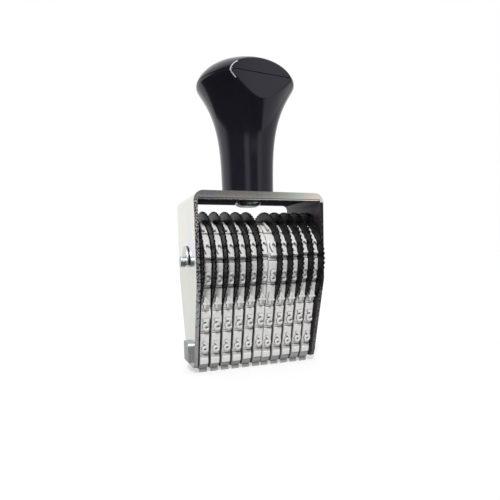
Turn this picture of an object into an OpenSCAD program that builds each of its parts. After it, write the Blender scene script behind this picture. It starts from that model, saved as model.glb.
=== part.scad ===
// Hand numbering stamp: a bent steel frame carries a knob handle, a cross shaft with eleven toothed
// number wheels, and an anvil bar; a moulded rubber band runs over each wheel and round the anvil.
// Millimetres. X runs along the shaft, -Y is the front, +Z points up, z = 0 is the printing side.

/* [Frame] */
// inside width between the side plates
frame_inner = 33.2; // [32:0.1:35]
// sheet thickness of the frame
sheet_t = 1; // [0.8:0.1:1.4]
// depth of the frame from front to back
frame_d = 20.8; // [19:0.2:24]
// height of the frame's underside above the printing side
frame_under = 45; // [44.6:0.1:48]
// outer radius of the two bends
bend_r = 2.5; // [1.8:0.1:3.5]
// how far the front lip hangs below the underside
lip_h = 1.2; // [0.6:0.1:1.6]
// outer radius of the bend between the top and the front lip
lip_r = 1.3; // [0.6:0.1:1.6]
// depth of a side plate at its lower end
foot_d = 7.8; // [7.4:0.1:10]
// height of the side plates' lower ends
foot_z = 0.8; // [0.4:0.1:1.4]
// height at which the side plates start to taper
taper_z = 23.4; // [18:0.2:30]
// radius of the side plates' lower corners
foot_r = 1; // [0.4:0.1:1.6]

/* [Shaft and clips] */
// shaft diameter
shaft_d = 3; // [2.6:0.1:3.6]
// height of the shaft axis
shaft_z = 28.8; // [28.4:0.1:29.2]
// length of shaft outside each side plate
shaft_out = 1.9; // [1:0.1:2.5]
// depth of the shaft's grooves for the clips
clip_seat = 0.35; // [0.25:0.05:0.45]
// chamfer of the shaft's ends
shaft_edge = 0.2; // [0.1:0.05:0.3]
// thickness of a retaining clip
clip_t = 0.5; // [0.4:0.05:0.7]
// outer diameter of a retaining clip
clip_d = 6.6; // [6:0.1:7]
// how far the clip's outer round sits above the shaft axis
clip_up = 0.8; // [0.6:0.05:1]
// how far the clip's legs reach below the shaft axis
clip_leg = 0.9; // [0.7:0.05:1]

/* [Number wheels] */
// play of the wheel stack, and of the anvil, at each side plate
stack_play = 0.1; // [0.05:0.01:0.15]
// side gap between two neighbouring wheels
wheel_gap = 0.1; // [0.08:0.01:0.14]
// diameter over the tips of the teeth
rim_d = 26.2; // [25.6:0.1:27]
// thickness of the toothed rim
rim_t = 0.45; // [0.35:0.05:0.5]
// number of teeth round a rim
teeth = 64; // [48:4:72]
// depth of a tooth
tooth_h = 0.65; // [0.3:0.05:0.7]
// diameter of the drum under the band
drum_d = 16.2; // [15.6:0.1:16.4]
// wall of the drum
drum_wall = 1.2; // [1:0.1:1.6]
// diameter of the hub round the shaft
hub_d = 6.2; // [5.6:0.1:7]
// thickness of the web between the hub and the drum
web_t = 0.9; // [0.6:0.1:1.2]
// running clearance between shaft and wheel, on the radius
run_fit = 0.05; // [0.02:0.01:0.09]

/* [Bands] */
// gap at each side of a band, to its own rim and to the wheel's other side
band_side = 0.075; // [0.05:0.005:0.12]
// thickness of the belt under the blocks
belt_t = 1.3; // [1.2:0.05:1.35]
// height of the blocks on the belt
block_h = 0.6; // [0.5:0.05:0.65]
// height of the belt's cord, the line of constant length, over its inner face
cord_h = 0.35; // [0.3:0.05:0.4]
// number of blocks round a band
blocks = 14; // [12:1:16]
// width of a groove at the block faces
groove_w = 0.9; // [0.6:0.05:1.1]
// width of a groove at its floor
groove_floor = 0.75; // [0.5:0.05:0.85]
// how far up the front the printing block's upper groove lies, measured along the belt
groove_s = 5.2; // [5:0.05:5.4]
// gap between a band and its drum or the anvil
band_gap = 0.12; // [0.08:0.01:0.2]

/* [Anvil] */
// half width of the flat under the anvil
anvil_flat = 1; // [0.9:0.05:1.3]
// radius of the anvil's lower edges
anvil_r = 0.5; // [0.4:0.05:0.6]
// height of the anvil's upper side above the printing side
anvil_top = 7.5; // [6.8:0.1:8]
// width of the ends that stand through the side plates
tenon_w = 5.6; // [5:0.1:6]
// lower side of the ends
tenon_z = 2.2; // [2.1:0.1:2.8]
// radius of the ends' upper corners
tenon_r = 1; // [0.6:0.1:1.4]
// how far the ends stand out of the side plates
tenon_out = 1.1; // [0.6:0.1:1.6]

/* [Handle] */
// diameter of the neck where it meets the frame
neck_d = 14; // [13:0.2:16]
// greatest diameter of the knob
knob_d = 26; // [24:0.2:27]
// height of the greatest diameter above the frame
knob_z = 28.5; // [27:0.5:32]
// height of the dome above the greatest diameter
dome_h = 6.6; // [6:0.2:8]
// distance of the flat from the handle's axis
facet_y = 10.1; // [9.6:0.1:11]
// how far the handle is turned on its screw, in degrees
handle_turn = 5.3; // [-15:0.1:15]
// diameter of the socket under the cap
socket_d = 16; // [14:0.5:16]
// depth of the socket under the cap
socket_h = 6; // [4:0.5:6]
// depth of the cap's plug in the socket
plug_h = 2; // [1.5:0.1:3]

/* [Handle fixing] */
// diameter of the screw
screw_d = 4; // [3.5:0.1:4.4]
// diameter of the screw head
head_d = 7; // [6.4:0.1:7.6]
// height of the screw head
head_h = 1.2; // [1:0.1:1.4]
// length of the screw under its head
screw_l = 15; // [12:0.5:16]
// outer diameter of the threaded insert
insert_d = 7.4; // [7:0.1:8]
// length of the threaded insert
insert_l = 17; // [15.5:0.5:18]
// thickness of the lock washer
washer_t = 0.5; // [0.4:0.05:0.6]
// clearance of the screw in the frame and the washer, on the radius
screw_play = 0.15; // [0.1:0.05:0.2]
// depth of the grooves between the insert's knurled rings
knurl_h = 0.35; // [0.2:0.05:0.4]
// clearance between pieces that are fixed to each other, on the radius
seat_fit = 0.03; // [0.02:0.01:0.05]

/* [Hidden] */
$fn = 96;

frame_w = frame_inner + 2 * sheet_t;
frame_top = frame_under + sheet_t;
half_d = frame_d / 2;

columns = 11;
middle = 6;                                   // the column that sits at x = 0
pitch_x = (frame_inner - 2 * stack_play) / columns;
wheel_w = pitch_x - wheel_gap;
band_w = wheel_w - rim_t - 2 * band_side;
band_thick = belt_t + block_h;
drum_inner = drum_d / 2 + band_gap;           // radius of a band's inner face on its drum
corner_r = anvil_r + band_gap;                // radius of a band's inner face at the anvil
corner_z = corner_r + band_thick;             // height of the anvil's edge centres
neutral = cord_h;                             // the bands' outline is set out along the cord
reach = norm([anvil_flat, shaft_z - corner_z]);
lean = atan2(shaft_z - corner_z, anvil_flat) - acos((drum_inner - corner_r) / reach);
straight = sqrt(reach * reach - (drum_inner - corner_r) * (drum_inner - corner_r));
s_flat = anvil_flat;
s_corner = s_flat + (corner_r + neutral) * (90 - lean) * PI / 180;
s_line = s_corner + straight;
s_top = s_line + (drum_inner + neutral) * (90 + lean) * PI / 180;
loop_l = 2 * s_top;
cell = loop_l / blocks;
// where each band stopped when it was last turned, measured along the belt
turned = [-0.19, -0.22, -0.19, -0.21, 0.01, 0.21, -0.08, -0.03, 0.02, 0.39, 0.29];

// one point of the front half of the loop: s runs along the belt from the middle of the underside,
// h is the height over the belt's inner face
function round_pt(c, r, a) = [c[0] - r * cos(a), c[1] - r * sin(a)];
function front_pt(s, h) =
    s <= s_flat ? [-s, corner_z - corner_r - h] :
    s <= s_corner ? round_pt([-anvil_flat, corner_z], corner_r + h,
        90 - (s - s_flat) / (corner_r + neutral) * 180 / PI) :
    s <= s_line ? round_pt([-anvil_flat, corner_z], corner_r + h, lean)
        + (s - s_corner) * [-sin(lean), cos(lean)] :
    round_pt([0, shaft_z], drum_inner + h, lean - (s - s_line) / (drum_inner + neutral) * 180 / PI);
function wrap(s) = s - loop_l * floor(s / loop_l);
function loop_pt(s, h) = let (w = wrap(s))
    w <= s_top ? front_pt(w, h) : let (p = front_pt(loop_l - w, h)) [-p[0], p[1]];
// steps along a stretch of belt: one where it is straight, more where it bends
function straight_run(a, b) = a > s_corner && b < s_line;
function steps(a, b) = let (u = wrap(a), v = wrap(b))
    u > v ? 16 :
    straight_run(u, v) || straight_run(loop_l - v, loop_l - u) ? 1 :
    v < s_corner + cell || u > loop_l - s_corner - cell ? 16 : 5;
function block_pts(k, g) = let (a = g + k * cell, b = a + cell,
        u = a + groove_w / 2, v = b - groove_w / 2, n = steps(u, v))
    concat([loop_pt(a + groove_floor / 2, belt_t)],
        [for (i = [0:n]) loop_pt(u + (v - u) * i / n, band_thick)],
        [loop_pt(b - groove_floor / 2, belt_t)]);
inner_s = concat(
    [for (i = [0:5]) s_flat + (s_corner - s_flat) * i / 5],
    [for (i = [0:28]) s_line + 2 * (s_top - s_line) * i / 28],
    [for (i = [5:-1:0]) loop_l - s_flat - (s_corner - s_flat) * i / 5]);

// side profile [y, z] of the anvil between the plates: its sides follow the bands
anvil_side = round_pt([-anvil_flat, corner_z], anvil_r, lean);
anvil_slope = tan(lean);
anvil_low = [for (i = [0:6]) round_pt([-anvil_flat, corner_z], anvil_r, 90 - (90 - lean) * i / 6)];
anvil_half_top = -anvil_side[0] + (anvil_top - anvil_side[1]) * anvil_slope;
anvil_edge = 0.6;
anvil_half = concat(anvil_low,
    [[-anvil_half_top + anvil_edge * anvil_slope, anvil_top - anvil_edge],
     [-anvil_half_top + anvil_edge, anvil_top]]);

// handle: a neck that flares into a knob, and a dome on top, blended at the greatest width
handle_z = frame_top;
knob_top = handle_z + knob_z + dome_h;
seam_z = handle_z + knob_z + 0.6;
neck_r = neck_d / 2;
knob_r = knob_d / 2;
flare_pow = 3.6;
flare_lin = 0.3;
edge_r = 0.35;                                // how far the blend reaches past the knob's radius
function flare(t) = neck_r + flare_lin * t + (knob_r + edge_r - neck_r - flare_lin) * pow(t, flare_pow);
function dome(z) = z <= knob_z - 0.6 ? knob_r + edge_r :
    (knob_r + edge_r) * pow(max(0, 1 - pow((z - knob_z + 0.6) / (dome_h + 0.6), 1.9)), 1 / 2.15);
blend = 36;
function knob_at(z) = let (a = flare(z / knob_z), b = max(0.001, dome(z)))
    pow(pow(a, -blend) + pow(b, -blend), -1 / blend);
// heights at which the outline is drawn, closer together where it curves
slim_h = knob_z * 0.6;
body_zs = concat([for (i = [0:4]) slim_h * i / 4.25],
    [for (i = [0:8]) slim_h + (seam_z - handle_z - slim_h) * (1 - pow(1 - i / 8, 1.7))]);
cap_zs = [for (i = [0:9]) let (a = 90 * i / 10)
    seam_z - handle_z + (knob_top - seam_z) * sin(a)];

insert_hole = screw_d / 2 + seat_fit;

// turns a drawing in [y, z] into a slab that runs along X from x0 to x1
module along_x(x0, x1) translate([x0, 0, 0]) rotate([90, 0, 90]) linear_extrude(x1 - x0) children();

// outline of the tenons, grown by g for the slots they stand in
module tenon_shape(g) {
    w = tenon_w / 2 + g;
    r = tenon_r + g;
    translate([-w, tenon_z - g]) square([2 * w, anvil_top - tenon_r - tenon_z + g]);
    translate([-w + r, tenon_z]) square([2 * (w - r), anvil_top + g - tenon_z]);
    for (s = [-1, 1]) translate([s * (w - r), anvil_top + g - r]) circle(r);
}

module side_shape() {
    f = foot_d / 2;
    tilt = atan2(half_d - f, taper_z - foot_z);
    c = [-f + foot_r / tan((90 + tilt) / 2), foot_z + foot_r];
    half = concat([for (i = [0:5]) round_pt(c, foot_r, 90 - (90 - tilt) * i / 5)],
        [[-half_d, taper_z], [-half_d, frame_top + 1]]);
    polygon(concat(half, [for (i = [len(half) - 1:-1:0]) [-half[i][0], half[i][1]]]));
}

module u_shape() difference() {
    union() {
        translate([-frame_w / 2, foot_z]) square([frame_w, frame_top - foot_z - bend_r]);
        translate([-frame_w / 2 + bend_r, foot_z]) square([frame_w - 2 * bend_r, frame_top - foot_z]);
        for (s = [-1, 1]) translate([s * (frame_w / 2 - bend_r), frame_top - bend_r]) circle(bend_r);
    }
    r = bend_r - sheet_t;
    translate([-frame_inner / 2, foot_z - 1]) square([frame_inner, frame_under - r - foot_z + 1]);
    translate([-frame_inner / 2 + r, foot_z - 1]) square([frame_inner - 2 * r, frame_under - foot_z + 1]);
    for (s = [-1, 1]) translate([s * (frame_inner / 2 - r), frame_under - r]) circle(r);
}

// what the bend between the top and the front lip leaves off the square edge
module lip_waste() {
    c = [-half_d + lip_r, frame_top - lip_r];
    along_x(-frame_w, frame_w) difference() {
        translate([-half_d - 1, c[1]]) square([lip_r + 1, lip_r + 1]);
        translate(c) circle(lip_r);
    }
}

module frame() color([0.82, 0.83, 0.85]) difference() {
    union() {
        intersection() {
            translate([0, half_d, 0]) rotate([90, 0, 0]) linear_extrude(frame_d) u_shape();
            along_x(-frame_w, frame_w) side_shape();
        }
        translate([-frame_inner / 2 - sheet_t / 2, -half_d, frame_under - lip_h])
            cube([frame_inner + sheet_t, sheet_t, lip_h + sheet_t / 2]);
    }
    lip_waste();
    translate([-frame_w, 0, shaft_z]) rotate([0, 90, 0])
        cylinder(h = 2 * frame_w, r = shaft_d / 2 + seat_fit);
    translate([0, 0, frame_under - sheet_t]) cylinder(h = 3 * sheet_t, r = screw_d / 2 + screw_play);
    for (s = [-1, 1]) translate([s * (frame_inner + sheet_t) / 2, 0, 0])
        along_x(-sheet_t, sheet_t) tenon_shape(seat_fit);
}

module shaft() color([0.75, 0.76, 0.78]) {
    half = frame_w / 2 + shaft_out;
    slot0 = frame_w / 2 + seat_fit;
    slot1 = slot0 + clip_t + seat_fit;
    r = shaft_d / 2;
    low = r - clip_seat;
    c = shaft_edge;
    translate([0, 0, shaft_z]) rotate([0, 90, 0]) rotate_extrude() polygon([
        [0, -half], [r - c, -half], [r, -half + c], [r, -slot1], [low, -slot1],
        [low, -slot0], [r, -slot0], [r, slot0], [low, slot0], [low, slot1],
        [r, slot1], [r, half - c], [r - c, half], [0, half]]);
}

// crescent ring that snaps into the shaft's groove from above: its legs end a little below the axis
module clip_shape() difference() {
    translate([0, clip_up]) circle(clip_d / 2);
    circle(shaft_d / 2 - clip_seat + seat_fit);
    translate([-clip_d, -clip_leg - clip_d]) square([2 * clip_d, clip_d]);
}

module shaft_clips() color([0.55, 0.56, 0.58])
    for (s = [-1, 1]) translate([s * (frame_w / 2 + seat_fit + seat_fit / 2 + clip_t / 2), 0, shaft_z])
        along_x(-clip_t / 2, clip_t / 2) clip_shape();

module anvil() color([0.7, 0.72, 0.74]) {
    along_x(-frame_inner / 2 + stack_play, frame_inner / 2 - stack_play)
        polygon(concat(anvil_half,
            [for (i = [len(anvil_half) - 1:-1:0]) [-anvil_half[i][0], anvil_half[i][1]]]));
    for (s = [-1, 1]) {
        a = s * (frame_inner / 2 - 1.5 * stack_play);
        b = s * (frame_w / 2 + tenon_out);
        along_x(min(a, b), max(a, b)) tenon_shape(0);
    }
}

module handle_shell(zs, low, high) rotate_extrude() polygon(concat(
    [[0, low]], [for (z = zs) [knob_at(z), handle_z + z]], [[0, high]]));

module facet_cut() rotate([0, 0, handle_turn])
    translate([-knob_d, -facet_y - knob_d, handle_z + knob_z * 0.35])
        cube([2 * knob_d, knob_d, knob_top - handle_z]);

module handle_body() color([0.05, 0.05, 0.06]) difference() {
    handle_shell(body_zs, handle_z, seam_z);
    facet_cut();
    translate([0, 0, seam_z - socket_h]) cylinder(h = socket_h + 1, r = socket_d / 2);
    translate([0, 0, handle_z - 1]) cylinder(h = insert_l + 1.4, r = insert_d / 2 + seat_fit);
}

module handle_cap() color([0.06, 0.06, 0.07]) difference() {
    union() {
        handle_shell(cap_zs, seam_z, knob_top);
        translate([0, 0, seam_z - plug_h]) cylinder(h = plug_h * 1.5, r = socket_d / 2 - seat_fit);
    }
    facet_cut();
    translate([0, 0, seam_z - 1.5 * plug_h]) cylinder(h = 2.5 * plug_h, r = socket_d * 0.375);
}

module handle_insert() color([0.78, 0.62, 0.3]) difference() {
    translate([0, 0, handle_z]) union() {
        cylinder(h = insert_l, r = insert_d / 2 - knurl_h);
        for (k = [0.05, 0.4, 0.7]) translate([0, 0, insert_l * k])
            cylinder(h = insert_l * 0.235, r = insert_d / 2);
    }
    translate([0, 0, handle_z - 1])
        cylinder(h = frame_under - washer_t + screw_l + 1.5 - handle_z, r = insert_hole);
}

module handle_screw() color([0.7, 0.71, 0.73]) {
    z0 = frame_under - washer_t;
    difference() {
        translate([0, 0, z0]) rotate_extrude() polygon([
            [0, -head_h], [head_d / 2 - 1.1, -head_h], [head_d / 2 - 0.3, -head_h * 0.7],
            [head_d / 2, -head_h * 0.35], [head_d / 2, 0], [screw_d / 2, 0],
            [screw_d / 2, screw_l - 0.5], [screw_d / 2 - 0.5, screw_l], [0, screw_l]]);
        translate([-head_d, -0.45, z0 - head_h - 1]) cube([2 * head_d, 0.9, 1.6]);
    }
}

module lock_washer() color([0.6, 0.61, 0.63]) difference() {
    translate([0, 0, frame_under - washer_t]) cylinder(h = washer_t, r = head_d / 2 - 0.25);
    translate([0, 0, frame_under - 2 * washer_t]) cylinder(h = 3 * washer_t, r = screw_d / 2 + screw_play);
    translate([0, -washer_t / 2, frame_under - 2 * washer_t]) cube([head_d, washer_t, 3 * washer_t]);
}

function column_x(i) = (i - middle) * pitch_x;
// the rim is on the left of the first six wheels and on the right of the others
function rim_side(i) = i <= middle ? -1 : 1;

module rim_shape() {
    r1 = rim_d / 2;
    r0 = r1 - tooth_h;
    polygon([for (k = [0:teeth - 1]) for (q = [[0.2, r1], [0.6, r0]])
        let (a = 360 * (k + q[0]) / teeth) [q[1] * cos(a), q[1] * sin(a)]]);
}

module wheel(i) color([0.07, 0.07, 0.08]) {
    s = rim_side(i);
    half = wheel_w / 2;
    rim0 = s < 0 ? -half : half - rim_t;
    hollow0 = s < 0 ? -half + web_t : -half - 1;
    translate([column_x(i), 0, shaft_z]) rotate([0, 90, 0]) difference() {
        union() {
            translate([0, 0, rim0]) linear_extrude(rim_t) rim_shape();
            translate([0, 0, -half]) cylinder(h = 2 * half, r = drum_d / 2);
        }
        translate([0, 0, -half - 1]) cylinder(h = 2 * half + 2, r = shaft_d / 2 + run_fit);
        translate([0, 0, hollow0]) difference() {
            cylinder(h = 2 * half + 1 - web_t, r = drum_d / 2 - drum_wall);
            translate([0, 0, -1]) cylinder(h = 2 * half + 3, r = hub_d / 2);
        }
    }
}

module band(i) color([0.8, 0.79, 0.77]) {
    mid = column_x(i) - rim_side(i) * rim_t / 2;
    g = groove_s + turned[i - 1] - cell;
    along_x(mid - band_w / 2, mid + band_w / 2) difference() {
        polygon([for (k = [0:blocks - 1]) each block_pts(k, g)]);
        polygon([for (s = inner_s) loop_pt(s, 0)]);
    }
}

module wheel_01() wheel(1);
module wheel_02() wheel(2);
module wheel_03() wheel(3);
module wheel_04() wheel(4);
module wheel_05() wheel(5);
module wheel_06() wheel(6);
module wheel_07() wheel(7);
module wheel_08() wheel(8);
module wheel_09() wheel(9);
module wheel_10() wheel(10);
module wheel_11() wheel(11);
module band_01() band(1);
module band_02() band(2);
module band_03() band(3);
module band_04() band(4);
module band_05() band(5);
module band_06() band(6);
module band_07() band(7);
module band_08() band(8);
module band_09() band(9);
module band_10() band(10);
module band_11() band(11);

frame();
handle_body();
handle_cap();
handle_insert();
handle_screw();
lock_washer();
shaft();
shaft_clips();
anvil();
wheel_01();
wheel_02();
wheel_03();
wheel_04();
wheel_05();
wheel_06();
wheel_07();
wheel_08();
wheel_09();
wheel_10();
wheel_11();
band_01();
band_02();
band_03();
band_04();
band_05();
band_06();
band_07();
band_08();
band_09();
band_10();
band_11();
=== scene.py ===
# %% [markdown]
# # A hand numbering stamp with rubber bands
# A bent steel frame carries a black knob handle, a cross shaft with eleven toothed wheels, and an
# anvil bar. A light rubber band with raised digits runs over every wheel and round the anvil. The
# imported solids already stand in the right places, in metres, so each piece here is built where the
# solid is and then stands for it.

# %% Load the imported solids
import math
import bpy
import bmesh
from mathutils import Matrix, Vector


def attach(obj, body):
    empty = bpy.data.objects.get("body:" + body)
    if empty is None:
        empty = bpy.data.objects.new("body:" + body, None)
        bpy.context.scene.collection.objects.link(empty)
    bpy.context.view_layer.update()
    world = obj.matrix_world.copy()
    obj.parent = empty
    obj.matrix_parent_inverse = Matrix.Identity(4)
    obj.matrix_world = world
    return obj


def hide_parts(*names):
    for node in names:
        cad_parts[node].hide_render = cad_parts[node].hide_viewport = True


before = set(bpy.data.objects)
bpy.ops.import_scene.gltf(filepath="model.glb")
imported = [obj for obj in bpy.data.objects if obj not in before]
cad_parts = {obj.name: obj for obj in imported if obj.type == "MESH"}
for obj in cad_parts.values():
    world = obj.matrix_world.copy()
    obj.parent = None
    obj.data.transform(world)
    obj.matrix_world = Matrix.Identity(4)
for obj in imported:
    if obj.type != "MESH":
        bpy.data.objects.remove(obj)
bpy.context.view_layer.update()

# %% [markdown]
# ## Working by hand, in code
# In Blender's window a maker clicks a face and extrudes it. A script has no mouse, so it picks
# faces and edges by where they are or which way they face, and then calls the same operators.
# Operators act on everything that is selected, so each helper starts from nothing selected. A
# piece's place is kept in its mesh, with the object at the origin, so a pattern on Object
# coordinates stays put when a joint turns. Lengths are in millimetres, and MM makes them metres
# where Blender takes them.

# %% Selecting, placing and joining
MM = 0.001
SIDEWAYS = (0, math.pi / 2, 0)


def done():
    bpy.ops.object.mode_set(mode="OBJECT")


def only(piece):
    """Selects one piece and nothing else."""
    if bpy.context.object is not None and bpy.context.object.mode != "OBJECT":
        done()
    bpy.ops.object.select_all(action="DESELECT")
    piece.select_set(True)
    bpy.context.view_layer.objects.active = piece


def fix(piece):
    """Moves a piece's place, turn and size into its mesh."""
    only(piece)
    bpy.ops.object.transform_apply(location=True, rotation=True, scale=True)
    return piece


def settle(name):
    """Names the new piece and fixes its place."""
    piece = bpy.context.object
    piece.name = piece.data.name = name
    return fix(piece)


def twin(piece, name):
    """A copy with a mesh of its own."""
    copy = piece.copy()
    copy.data = piece.data.copy()
    copy.name = copy.data.name = name
    bpy.context.scene.collection.objects.link(copy)
    return copy


def join(piece, others):
    """Makes other pieces part of a piece."""
    only(piece)
    for other in others:
        other.select_set(True)
    bpy.ops.object.join()


print("lengths in the script: mm, in Blender: m, factor", MM)


# %% Picking, slicing and rounding
def pick_all():
    bpy.ops.mesh.select_all(action="SELECT")


def pick_none():
    bpy.ops.mesh.select_all(action="DESELECT")


def shape(piece, mode="FACE"):
    """Opens a piece for editing with nothing picked."""
    only(piece)
    bpy.ops.object.mode_set(mode="EDIT")
    bpy.ops.mesh.select_mode(type=mode)
    pick_none()


def pick(piece, kind, test):
    """Picks the corners, edges or faces that pass a test, and counts them."""
    mesh = bmesh.from_edit_mesh(piece.data)
    count = 0
    for part in getattr(mesh, kind):
        if kind == "verts":
            wanted = test(part.co / MM)
        elif kind == "edges":
            wanted = test(part.verts[0].co / MM, part.verts[1].co / MM)
        else:
            wanted = test(part.calc_center_median() / MM, part.normal)
        if wanted:
            part.select_set(True)
            count += 1
    bmesh.update_edit_mesh(piece.data)
    return count


def slice_at(place, facing, everywhere=True, **options):
    """Cuts the open piece along a plane: all of it, or only what is picked."""
    if everywhere:
        pick_all()
    bpy.ops.mesh.bisect(plane_co=[k * MM for k in place], plane_no=facing, threshold=1e-7,
                        **options)


def round_edges(piece, test, radius, segments):
    """Rounds the edges that pass a test, and counts them."""
    shape(piece, "EDGE")
    count = pick(piece, "edges", test)
    bpy.ops.mesh.bevel(offset=radius * MM, segments=segments, affect="EDGES")
    done()
    return count


def turn_outwards():
    """Points all faces of the open piece outwards and closes it."""
    pick_all()
    bpy.ops.mesh.normals_make_consistent(inside=False)
    done()


print("kinds that pick takes: verts, edges, faces")


# %% Starting shapes, soft edges and cutting
def box(name, x, y, z):
    """A block between two values on each axis."""
    size = [(b - a) * MM for a, b in (x, y, z)]
    middle = [(a + b) / 2 * MM for a, b in (x, y, z)]
    bpy.ops.mesh.primitive_cube_add(size=1, location=middle, scale=size)
    return settle(name)


def rod(name, radius, length, middle, sides, turn=SIDEWAYS):
    """A round rod, as a rule along the shaft."""
    bpy.ops.mesh.primitive_cylinder_add(vertices=sides, radius=radius * MM, depth=length * MM,
                                        location=[k * MM for k in middle], rotation=turn)
    return settle(name)


def soften(piece, width, angle):
    """Rounds every edge sharper than an angle, as tumbling, moulding or wear does."""
    only(piece)
    bevel = piece.modifiers.new("Soft edges", "BEVEL")
    bevel.width = width * MM
    bevel.segments = 2
    bevel.limit_method = "ANGLE"
    bevel.angle_limit = math.radians(angle)
    bpy.ops.object.modifier_apply(modifier=bevel.name)


def smooth(piece, angle):
    """Blends the shading over gentle edges, and keeps large faces flat beside a rounded edge."""
    only(piece)
    bpy.ops.object.shade_smooth_by_angle(angle=math.radians(angle))
    flat = piece.modifiers.new("Flat faces", "WEIGHTED_NORMAL")
    flat.keep_sharp = True
    bpy.ops.object.modifier_apply(modifier=flat.name)


def cut(piece, *cutters):
    """Takes the cutters' shapes out of a piece and removes them."""
    for cutter in cutters:
        only(piece)
        tool = piece.modifiers.new("Cut", "BOOLEAN")
        tool.operation = "DIFFERENCE"
        tool.solver = "EXACT"
        tool.object = cutter
        bpy.ops.object.modifier_apply(modifier=tool.name)
        bpy.data.objects.remove(cutter)


def stain(piece, name, amount):
    """Writes a value from 0 to 1 at each corner of a mesh, for a finish to read."""
    values = piece.data.attributes.new(name, "FLOAT", "POINT")
    values.data.foreach_set("value", [min(1.0, max(0.0, amount(v.co / MM)))
                                      for v in piece.data.vertices])


print("helpers ready")

# %% [markdown]
# ## The handle
# The real handle is moulded in black plastic: a slim neck flares into a round knob with a dome. It
# could be spun from a drawn profile. Here one ring is extruded upwards again and again and scaled
# to the next radius, as it would be by hand, because each ring then sits exactly where the
# outline's formula puts it.

# %% Outline of the handle
FRAME_TOP = 46.0
NECK_R, NECK_DRAFT, KNOB_R, EDGE_R = 7.0, 0.3, 13.0, 0.35
KNOB_Z, DOME_H, DOME_START, SEAM_UP = 28.5, 6.6, 0.6, 0.6
FLARE, DOME_FALL, DOME_ROUND, BLEND = 3.6, 1.9, 2.15, 36
SEAM_Z = FRAME_TOP + KNOB_Z + SEAM_UP
KNOB_TOP = FRAME_TOP + KNOB_Z + DOME_H


def knob_radius(z):
    """Radius of the handle at a height over the frame: the flare and the dome, blended."""
    t = z / KNOB_Z
    flare = NECK_R + NECK_DRAFT * t + (KNOB_R + EDGE_R - NECK_R - NECK_DRAFT) * t ** FLARE
    dome = KNOB_R + EDGE_R
    if z > KNOB_Z - DOME_START:
        up = (z - KNOB_Z + DOME_START) / (DOME_H + DOME_START)
        dome = max(0.001, dome * max(0.0, 1 - up ** DOME_FALL) ** (1 / DOME_ROUND))
    return (flare ** -BLEND + dome ** -BLEND) ** (-1 / BLEND)


print("handle from", FRAME_TOP, "to", KNOB_TOP, "mm, seam at", round(SEAM_Z, 1))

# %% Extrude it ring by ring
NECK_H, NECK_RINGS, RINGS, GATHER, TIP, SIDES = 15, 12, 26, 1.6, 0.004, 128
FLARE_Z = FRAME_TOP + NECK_H
heights = [FRAME_TOP + NECK_H * i / NECK_RINGS for i in range(NECK_RINGS)]
heights += [FLARE_Z + (SEAM_Z - FLARE_Z) * (1 - (1 - i / RINGS) ** GATHER)
            for i in range(RINGS + 1)]
heights += [SEAM_Z + (KNOB_TOP - SEAM_Z) * math.sin(math.pi / 2 * i / RINGS)
            for i in range(1, RINGS)]
heights.append(KNOB_TOP - TIP)
r = knob_radius(heights[0] - FRAME_TOP)
bpy.ops.mesh.primitive_circle_add(vertices=SIDES, radius=r * MM, fill_type="NGON",
                                  location=(0, 0, heights[0] * MM))
handle = settle("handle")
shape(handle)
pick_all()
for low, high in zip(heights, heights[1:]):
    new = knob_radius(high - FRAME_TOP)
    bpy.ops.mesh.extrude_region_move(TRANSFORM_OT_translate={"value": (0, 0, (high - low) * MM)})
    bpy.ops.transform.resize(value=(new / r, new / r, 1), center_override=(0, 0, high * MM))
    r = new
turn_outwards()
print("rings of the handle:", len(heights))

# %% [markdown]
# ### Its flat and its seam
# A flat on the front shows the hand which way the stamp faces. It stands a few degrees off square,
# because the handle stops where its screw is tight. It could be cut with a block and a Boolean,
# but bisect needs no second shape. Its edge is rounded, and a bevel would shrink to nothing on an
# outline of such short edges. So the flat is inset twice, each time with a little depth. Last, the
# knob is parted near its greatest width, where the cap was pressed in.

# %% Cut the flat and round its edge
FACET_Y, HANDLE_TURN = 10.1, math.radians(5.3)
FACING = Vector((math.sin(HANDLE_TURN), -math.cos(HANDLE_TURN), 0))
ROUNDING, SHORTEST = ((0.25, 0.145), (0.3, 0.055)), 0.08
cut_at = FACET_Y - sum(depth for width, depth in ROUNDING)


def on_flat(c, n):
    return n @ FACING > 0.999 and c @ FACING > cut_at - 0.01


shape(handle)
slice_at(FACING * cut_at, FACING, use_fill=True, clear_outer=True)
pick_none()
pick(handle, "faces", on_flat)
bpy.ops.mesh.remove_doubles(threshold=SHORTEST * MM)
for width, depth in ROUNDING:
    pick_none()
    print("flat:", pick(handle, "faces", on_flat))
    bpy.ops.mesh.inset(thickness=width * MM, depth=depth * MM, use_even_offset=False)
done()


# %% Part it at the seam
SEAM_EDGE = 0.09


def parted(name, away):
    """The half of the handle on one side of the seam, with its edge there slightly broken."""
    piece = twin(handle, name + "_look")
    shape(piece)
    slice_at((0, 0, SEAM_Z), (0, 0, away), use_fill=True, clear_outer=True)
    done()
    count = round_edges(piece, lambda a, b: max(abs(a.z - SEAM_Z), abs(b.z - SEAM_Z)) < 0.005,
                        SEAM_EDGE, 1)
    smooth(piece, 40)
    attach(piece, "stamp")
    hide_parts(name)
    print(name, len(piece.data.polygons), "faces, edges at the seam:", count)
    return piece


handle_body, handle_cap = parted("handle_body", 1), parted("handle_cap", -1)
bpy.data.objects.remove(handle)

# %% [markdown]
# ## The frame
# The real frame is one strip of plated steel bent twice, with a short lip folded down at the
# front, and its side plates narrow towards the anvil. It could be a flat sheet with Solidify. It
# is carved from a block here, because the outer and inner bend radii, the lip and the taper can
# each be set exactly: round the block, narrow its lower part, take out the inside, then cut the
# holes. The fold between the top and the lip is only softened here, where the solid has a small
# bend.

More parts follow.
